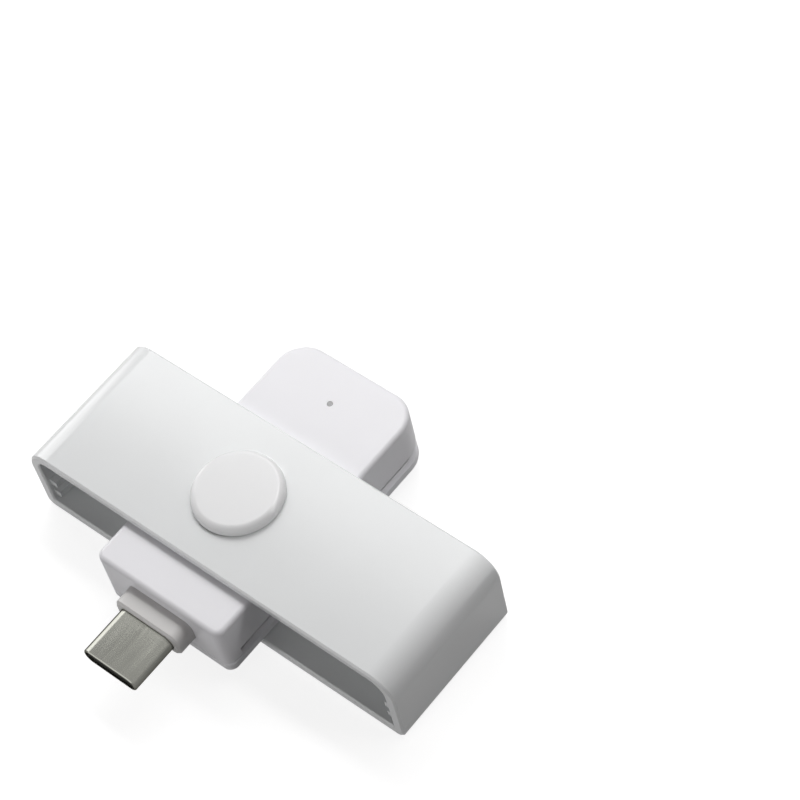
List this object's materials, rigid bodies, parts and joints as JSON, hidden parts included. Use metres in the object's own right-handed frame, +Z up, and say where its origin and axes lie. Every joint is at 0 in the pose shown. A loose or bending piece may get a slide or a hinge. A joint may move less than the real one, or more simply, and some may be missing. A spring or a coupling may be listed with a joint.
{
  "type": "smart card reader",
  "caption": "Compact white smart card reader: a loop-shaped sleeve that a card slides through, with a swivelling module that carries the contacts and a reversible connector plug.",
  "frame": {"origin": "swivel axis at the plane of the sleeve's foot", "axes": "+X along the sleeve, away from the end that the swivel is nearer to; +Y the way the card comes out; -Y the way the plug points; +Z up along the swivel axis"},
  "size_m": [0.0584, 0.0477, 0.0135],
  "materials": {
    "sleeve_plastic": "glossy moulded white",
    "housing_plastic": "glossy moulded white",
    "cap_plastic": "glossy moulded white",
    "collar_plastic": "satin moulded white",
    "plug_steel": "drawn stainless steel",
    "insulator_plastic": "black moulded",
    "contact_gold": "gold flash",
    "carrier_plastic": "black moulded",
    "board_laminate": "green solder mask",
    "chip_resin": "black moulded resin",
    "crystal_can": "drawn steel can",
    "passive_ceramic": "fired ceramic, stood in by plastic",
    "lamp_resin": "clear resin",
    "pipe_plastic": "smoky clear plastic"
  },
  "bodies": {
    "sleeve": {"sleeve": "sleeve_plastic"},
    "module": {"upper_housing": "housing_plastic", "lower_housing": "housing_plastic", "pivot_cap_top": "cap_plastic", "pivot_cap_bottom": "cap_plastic", "plug_collar": "collar_plastic", "usb_shell": "plug_steel", "usb_insulator": "insulator_plastic", "usb_contacts": "contact_gold", "contact_carrier": "carrier_plastic", "card_contacts": "contact_gold", "card_switch": "contact_gold", "main_board": "board_laminate", "controller_chip": "chip_resin", "crystal": "crystal_can", "passives": "passive_ceramic", "led_lamp": "lamp_resin", "light_pipe": "pipe_plastic"}
  },
  "joints": [
    {"name": "module_swivel", "type": "hinge", "parent": "sleeve", "child": "module", "pos_m": [0, 0, 0], "axis": [0, 0, 1], "range_deg": [0, 90]}
  ]
}
